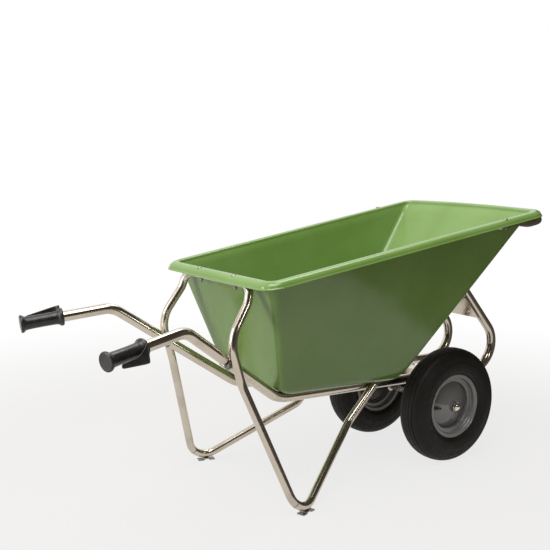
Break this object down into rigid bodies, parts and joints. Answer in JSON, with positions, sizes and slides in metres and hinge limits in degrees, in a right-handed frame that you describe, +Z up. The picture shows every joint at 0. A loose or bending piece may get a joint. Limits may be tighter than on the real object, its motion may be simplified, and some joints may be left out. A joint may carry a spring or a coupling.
{
  "type": "wheelbarrow",
  "caption": "Wheelbarrow with a deep moulded tub, bent tube frame with legs and tipping bows, gripped handles, and pneumatic wheels side by side on one axle.",
  "frame": {"origin": "centre of the barrow's outline on the ground it stands on", "axes": "+X forward along the barrow from the grips to the nose of the tub, +Y to its left, +Z up"},
  "size_m": [1.7096, 0.704, 0.8864],
  "materials": {
    "green_plastic": "semi gloss moulded",
    "tube_steel": "bright plated tube",
    "zinc_steel": "zinc plated",
    "black_steel": "black paint",
    "bright_cap": "polished",
    "black_rubber": "moulded grip rubber",
    "tyre": "ribbed tyre rubber",
    "tube_rubber": "inner tube rubber",
    "wheel_grey": "satin grey paint",
    "bush_plastic": "bearing plastic"
  },
  "bodies": {
    "frame": {"tub": "green_plastic", "left_main_tube": "tube_steel", "right_main_tube": "tube_steel", "leg_bow": "tube_steel", "front_rim_bow": "tube_steel", "bow_cross_plate": "tube_steel", "rail_cross_bar": "tube_steel", "axle": "tube_steel", "left_axle_bracket": "tube_steel", "right_axle_bracket": "tube_steel", "axle_spacers": "tube_steel", "axle_washers": "zinc_steel", "axle_caps": "bright_cap", "left_grip": "black_rubber", "right_grip": "black_rubber", "left_foot_shoe": "zinc_steel", "right_foot_shoe": "zinc_steel", "left_leg_strap": "black_steel", "right_leg_strap": "black_steel", "leg_strap_bolts": "zinc_steel", "rear_rim_bolts": "zinc_steel", "rear_rim_washers": "black_rubber", "rear_rim_nuts": "zinc_steel", "side_rim_bolts": "zinc_steel", "side_rim_nuts": "zinc_steel", "left_arm_pad": "zinc_steel", "right_arm_pad": "zinc_steel", "front_wall_bolts": "zinc_steel", "front_wall_washers": "zinc_steel", "front_wall_nuts": "zinc_steel"},
    "left_wheel": {"left_tyre": "tyre", "left_inner_tube": "tube_rubber", "left_rim": "wheel_grey", "left_hub": "wheel_grey", "left_bushes": "bush_plastic", "left_valve": "tube_rubber"},
    "right_wheel": {"right_tyre": "tyre", "right_inner_tube": "tube_rubber", "right_rim": "wheel_grey", "right_hub": "wheel_grey", "right_bushes": "bush_plastic", "right_valve": "tube_rubber"}
  },
  "joints": [
    {"name": "left_wheel_spin", "type": "hinge", "parent": "frame", "child": "left_wheel", "pos_m": [0.51281, 0.197, 0.2015], "axis": [0, 1, 0], "continuous": true},
    {"name": "right_wheel_spin", "type": "hinge", "parent": "frame", "child": "right_wheel", "pos_m": [0.51281, -0.197, 0.2015], "axis": [0, 1, 0], "continuous": true}
  ]
}
